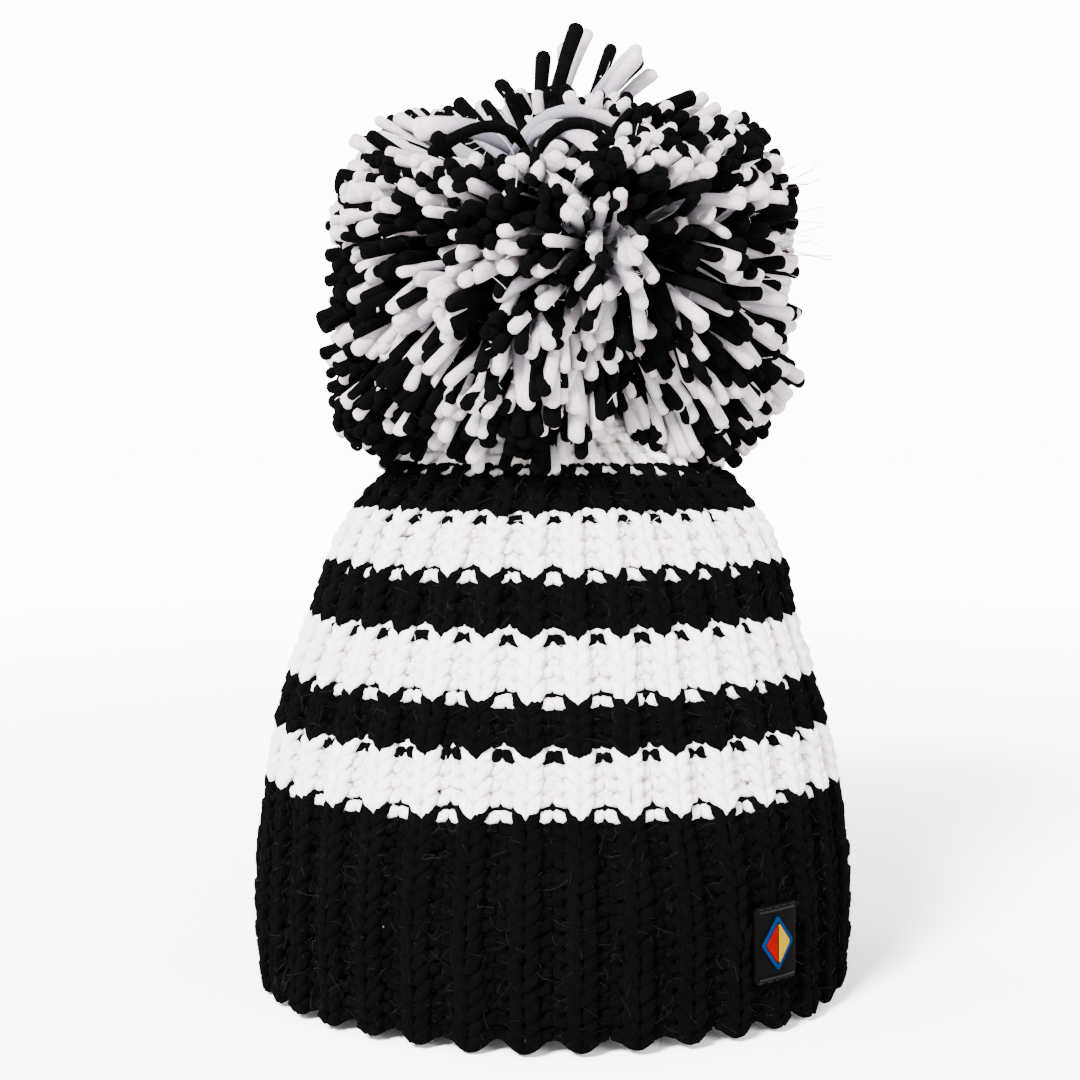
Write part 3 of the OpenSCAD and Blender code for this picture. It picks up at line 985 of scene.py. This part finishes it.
def moulded(name, outline, low, high, bevel, material, slot, node=None, hole=None):
    """A moulded piece with rounded edges; with hole, a band in to that share of the outline."""
    mid = (outline.max(0) + outline.min(0)) / 2
    half = (outline.max(0) - outline.min(0)) / 2
    turns = np.linspace(0, math.pi / 2, 5)
    rounding = [(bevel * (1 - math.cos(a)), high - bevel * (1 - math.sin(a))) for a in turns]
    rings = [(1.0, 0.0, low)] + [(1.0, inset, h) for inset, h in rounding]
    if hole:
        rings += [(hole, -inset, h) for inset, h in reversed(rounding)] + [(hole, 0.0, low)]
    else:
        rings += [(k, bevel, high) for k in (0.85, 0.7, 0.5, 0.3, 0.12)]
    verts = []
    for share, inset, h in rings:
        q = mid + (outline - mid) * share * (1 - inset / half / share)
        verts.append(on_label(q[:, 0], q[:, 1], np.full(len(q), h)))
    n, k = len(outline), len(rings)
    jj = np.repeat(np.arange(k if hole else k - 1), n)
    qq = np.tile(np.arange(n), k if hole else k - 1)
    q2, j2 = (qq + 1) % n, (jj + 1) % k
    quads = np.stack([jj * n + qq, jj * n + q2, j2 * n + q2, j2 * n + qq], -1)
    tris = None
    if not hole:
        verts += [on_label(mid[:1], mid[1:], np.array([h])) for h in (high, low)]
        a = np.arange(n)
        a2 = (a + 1) % n
        last = (k - 1) * n
        tris = np.concatenate([
            np.stack([last + a, last + a2, np.full(n, k * n)], -1),
            np.stack([a2, a, np.full(n, k * n + 1)], -1),
        ])
    ob = new_mesh(name, np.vstack(verts), quads, tris)
    return dress(ob, material, "hat", slot, [node] if node else [])


rubber_black = plain_material("rubber_black", (0.0005, 0.0005, 0.0006), 0.55, spec=0.006)
rubber_edge = plain_material("rubber_edge", (0.0022, 0.0022, 0.0024), 0.50, spec=0.02)
rubber_blue = plain_material("rubber_blue", (0.0, 0.0055, 0.0240), 0.50, spec=0.004)
rubber_red = plain_material("rubber_red", (0.0550, 0.0, 0.0001), 0.50, spec=0.004)
rubber_yellow = plain_material("rubber_yellow", (0.0950, 0.0600, 0.0), 0.50, spec=0.004)
thread = plain_material("thread_black", (0.002, 0.002, 0.002), 0.8, spec=0.02)

RELIEF = 0.7
SUNK = LABEL_T - 0.1  # where the raised parts start, inside the plate
w, h = LABEL_W / 2, LABEL_H / 2
plate = rounded([[-w, -h], [w, -h], [w, h], [-w, h]], 1.3)
moulded("label_plate", plate, 0.0, LABEL_T, 0.40, rubber_black, "label_rubber", "label_patch")
for word, y in (("lower", -h + 1.3), ("upper", h - 1.3)):
    left, right, low, high = -w + 1.2, w - 1.2, y - 0.35, y + 0.35
    bar = rounded([[left, low], [right, low], [right, high], [left, high]], 0.3)
    top = LABEL_T + 0.5
    moulded("label_line_" + word, bar, SUNK, top, 0.18, rubber_edge, "label_edge", "label_border")
rhomb = rounded([[-6.2, 0], [0, -8.2], [6.2, 0], [0, 8.2]], 0.8)
red_half = rounded([[-4.7, 0], [-0.25, -5.9], [-0.25, 5.9]], 0.7)
yellow_half = (red_half * [-1, 1])[::-1]
BLUE_TOP, HALF_TOP = LABEL_T + RELIEF, LABEL_T + RELIEF + 0.15
moulded(
    "label_rhomb_blue", rhomb, SUNK, BLUE_TOP, 0.25, rubber_blue, "motif_blue", "label_motif_blue", hole=0.79
)
moulded("label_rhomb_red", red_half, SUNK, HALF_TOP, 0.22, rubber_red, "motif_red", "label_motif_red")
moulded(
    "label_rhomb_yellow",
    yellow_half,
    SUNK,
    HALF_TOP,
    0.22,
    rubber_yellow,
    "motif_yellow",
    "label_motif_yellow",
)
# Each stitch of the thread goes into the rubber at both ends.
t = np.linspace(-1, 1, 9)
dip = LABEL_T + 0.20 - 0.55 * t**4
places = [(3 * k, s * (h - 0.45)) for s in (-1, 1) for k in range(-2, 3)]
threads = [on_label(x + 1.05 * t, 0 * t + y, dip) for x, y in places]
ob = strand_piece("label_thread", np.array(threads), np.full(10, 0.26), sides=6, taper=False)
dress(ob, thread, "hat", "label_thread", ["label_stitches"])

# ---------------------------------------------------------------- floor

bpy.ops.mesh.primitive_plane_add(size=80, location=(0, 0, 0))
floor = bpy.context.object
floor.name = "floor"
fm = Nodes("floor_pale")
geo = fm.t.nodes.new("ShaderNodeTexCoord")
cloudy = fm.noise(geo.outputs["Object"], 3.0)
fm.put(fm.bsdf, "Base Color", fm.ramp(cloudy, [(0.3, (0.86, 0.86, 0.87)), (0.7, (0.88, 0.88, 0.89))]))
fm.put(fm.bsdf, "Roughness", 0.9)
# Away from the hat the floor brightens into the backdrop, so that no horizon shows.
flat = fm.t.nodes.new("ShaderNodeVectorMath")
flat.operation = "LENGTH"
fm.t.links.new(geo.outputs["Object"], flat.inputs[0])
glow = fm.ramp(fm.math("DIVIDE", flat.outputs["Value"], 2.0), [(0.06, (0, 0, 0)), (0.75, (1, 1, 1))])
fm.put(fm.bsdf, "Emission Color", glow)
fm.put(fm.bsdf, "Emission Strength", SKY_SEEN - SKY_LIGHT)
floor.data.materials.append(fm.m)
